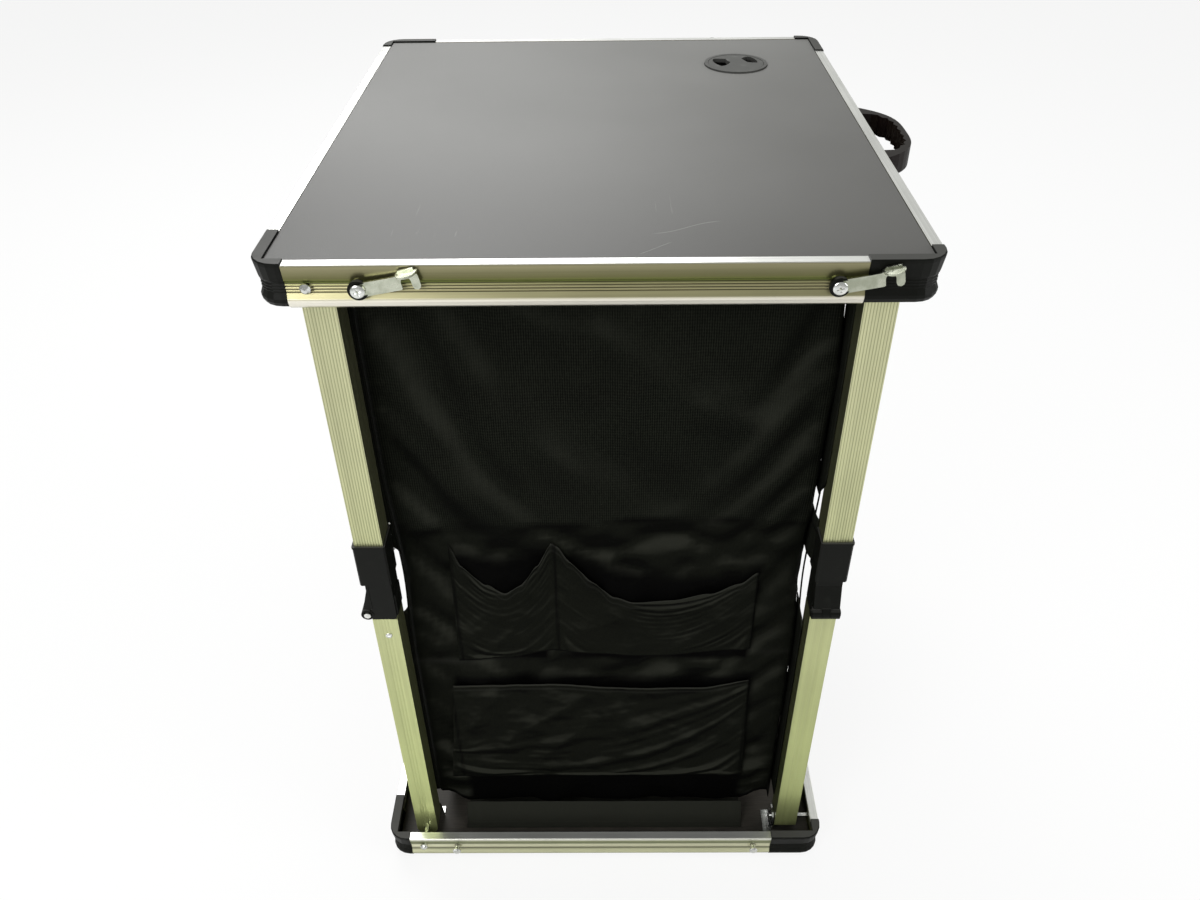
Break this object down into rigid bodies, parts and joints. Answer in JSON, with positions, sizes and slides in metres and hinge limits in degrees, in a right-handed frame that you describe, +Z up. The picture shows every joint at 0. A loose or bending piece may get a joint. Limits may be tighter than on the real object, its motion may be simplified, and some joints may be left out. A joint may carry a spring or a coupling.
{
  "type": "folding camp kitchen cupboard",
  "caption": "Folding aluminium camp cupboard: framed table top with latches, handle and cable outlet on hinged fluted legs around a cloth cupboard with shelves and pockets.",
  "frame": {"origin": "centre of the bounding box at floor level, under the feet", "axes": "+Z up, +X towards the carrying handle, -Y towards the side with the pockets"},
  "size_m": [0.5624, 0.6254, 0.8015],
  "materials": {
    "aluminium": "satin anodised extrusion",
    "black_plastic": "fine moulded grain",
    "dark_laminate": "satin dark laminate on thin board",
    "brown_board": "plain brown board",
    "plated_steel": "bright plated",
    "black_cloth": "coated woven cloth, mesh above the seam",
    "grey_cloth": "grey coated cloth"
  },
  "bodies": {
    "bottom_tray": {"floor_board": "brown_board", "bottom_rail_front": "aluminium", "bottom_rail_right": "aluminium", "bottom_rail_back": "aluminium", "bottom_rail_left": "aluminium", "bottom_corner_fl": "black_plastic", "bottom_corner_fr": "black_plastic", "bottom_corner_br": "black_plastic", "bottom_corner_bl": "black_plastic", "base_pivot_fl": "plated_steel", "base_pivot_fr": "plated_steel", "base_pivot_br": "plated_steel", "base_pivot_bl": "plated_steel", "catch_stud_front_a": "plated_steel", "catch_stud_front_b": "plated_steel", "catch_stud_back_a": "plated_steel", "catch_stud_back_b": "plated_steel", "cloth_walls": "black_cloth", "upper_pockets": "black_cloth", "wide_pocket": "black_cloth", "floor_cloth": "grey_cloth"},
    "top_tray": {"table_board": "dark_laminate", "outlet_ring": "black_plastic", "carry_handle": "black_plastic", "top_rail_front": "aluminium", "top_rail_right": "aluminium", "top_rail_back": "aluminium", "top_rail_left": "aluminium", "top_corner_fl": "black_plastic", "top_corner_fr": "black_plastic", "top_corner_br": "black_plastic", "top_corner_bl": "black_plastic", "top_pivot_fl": "plated_steel", "top_pivot_fr": "plated_steel", "top_pivot_br": "plated_steel", "top_pivot_bl": "plated_steel"},
    "outlet_cap": {"outlet_cap": "black_plastic"},
    "shelf_low": {"shelf_low": "black_cloth"},
    "shelf_high": {"shelf_high": "black_cloth"},
    "lower_leg_fl": {"lower_leg_fl": "aluminium", "knee_block_fl": "black_plastic"},
    "upper_leg_fl": {"upper_leg_fl": "aluminium", "knee_sleeve_fl": "black_plastic"},
    "lower_leg_fr": {"lower_leg_fr": "aluminium", "knee_block_fr": "black_plastic"},
    "upper_leg_fr": {"upper_leg_fr": "aluminium", "knee_sleeve_fr": "black_plastic"},
    "lower_leg_br": {"lower_leg_br": "aluminium", "knee_block_br": "black_plastic"},
    "upper_leg_br": {"upper_leg_br": "aluminium", "knee_sleeve_br": "black_plastic"},
    "lower_leg_bl": {"lower_leg_bl": "aluminium", "knee_block_bl": "black_plastic"},
    "upper_leg_bl": {"upper_leg_bl": "aluminium", "knee_sleeve_bl": "black_plastic"},
    "latch_hook_front_a": {"latch_hook_front_a": "plated_steel"},
    "latch_hook_front_b": {"latch_hook_front_b": "plated_steel"},
    "latch_hook_back_a": {"latch_hook_back_a": "plated_steel"},
    "latch_hook_back_b": {"latch_hook_back_b": "plated_steel"}
  },
  "joints": [
    {"name": "fold", "type": "hinge", "parent": "bottom_tray", "child": "lower_leg_fl", "pos_m": [-0.23665, -0.26175, 0.026], "axis": [0, 1, 0], "range_deg": [0, 89.73], "deforming": ["cloth_walls", "upper_pockets", "wide_pocket", "floor_cloth"]},
    {"name": "knee_fl", "type": "hinge", "parent": "lower_leg_fl", "child": "upper_leg_fl", "pos_m": [-0.25215, -0.26175, 0.4035], "axis": [0, 1, 0], "range_deg": [-179.46, 0]},
    {"name": "fold_fr", "type": "hinge", "parent": "bottom_tray", "child": "lower_leg_fr", "pos_m": [0.2041, -0.259, 0.026], "axis": [-1, 0, 0], "range_deg": [0, 89.73]},
    {"name": "knee_fr", "type": "hinge", "parent": "lower_leg_fr", "child": "upper_leg_fr", "pos_m": [0.2041, -0.2745, 0.4035], "axis": [-1, 0, 0], "range_deg": [-179.46, 0]},
    {"name": "fold_br", "type": "hinge", "parent": "bottom_tray", "child": "lower_leg_br", "pos_m": [0.20135, 0.26175, 0.026], "axis": [0, -1, 0], "range_deg": [0, 89.73]},
    {"name": "knee_br", "type": "hinge", "parent": "lower_leg_br", "child": "upper_leg_br", "pos_m": [0.21685, 0.26175, 0.4035], "axis": [0, -1, 0], "range_deg": [-179.46, 0]},
    {"name": "fold_bl", "type": "hinge", "parent": "bottom_tray", "child": "lower_leg_bl", "pos_m": [-0.2394, 0.259, 0.026], "axis": [1, 0, 0], "range_deg": [0, 89.73]},
    {"name": "knee_bl", "type": "hinge", "parent": "lower_leg_bl", "child": "upper_leg_bl", "pos_m": [-0.2394, 0.2745, 0.4035], "axis": [1, 0, 0], "range_deg": [-179.46, 0]},
    {"name": "tray_fl", "type": "hinge", "parent": "upper_leg_fl", "child": "top_tray", "pos_m": [-0.23665, -0.26175, 0.781], "axis": [0, 1, 0], "range_deg": [0, 89.73]},
    {"name": "shelf_low_drop", "type": "slide", "parent": "bottom_tray", "child": "shelf_low", "axis": [0, 0, 1], "range_m": [-0.22898, 0]},
    {"name": "shelf_high_drop", "type": "slide", "parent": "bottom_tray", "child": "shelf_high", "axis": [0, 0, 1], "range_m": [-0.43904, 0]},
    {"name": "hook_front_a", "type": "hinge", "parent": "top_tray", "child": "latch_hook_front_a", "pos_m": [-0.19665, -0.3025, 0.781], "axis": [0, -1, 0], "range_deg": [-101.1, 10]},
    {"name": "hook_front_b", "type": "hinge", "parent": "top_tray", "child": "latch_hook_front_b", "pos_m": [0.16135, -0.3025, 0.781], "axis": [0, -1, 0], "range_deg": [-101.1, 10]},
    {"name": "hook_back_a", "type": "hinge", "parent": "top_tray", "child": "latch_hook_back_a", "pos_m": [0.16135, 0.3025, 0.781], "axis": [0, 1, 0], "range_deg": [-101.1, 10]},
    {"name": "hook_back_b", "type": "hinge", "parent": "top_tray", "child": "latch_hook_back_b", "pos_m": [-0.19665, 0.3025, 0.781], "axis": [0, 1, 0], "range_deg": [-101.1, 10]},
    {"name": "cap_lift", "type": "slide", "parent": "top_tray", "child": "outlet_cap", "axis": [0, 0, 1], "range_m": [0, 0.02]}
  ],
  "couplings": [
    {"joint": "knee_fl", "follows": "fold", "ratio": -2},
    {"joint": "fold_fr", "follows": "fold", "ratio": 1},
    {"joint": "knee_fr", "follows": "fold", "ratio": -2},
    {"joint": "fold_br", "follows": "fold", "ratio": 1},
    {"joint": "knee_br", "follows": "fold", "ratio": -2},
    {"joint": "fold_bl", "follows": "fold", "ratio": 1},
    {"joint": "knee_bl", "follows": "fold", "ratio": -2},
    {"joint": "tray_fl", "follows": "fold", "ratio": 1},
    {"joint": "shelf_low_drop", "follows": "fold", "m_per_rad": -0.14589},
    {"joint": "shelf_high_drop", "follows": "fold", "m_per_rad": -0.28002}
  ]
}
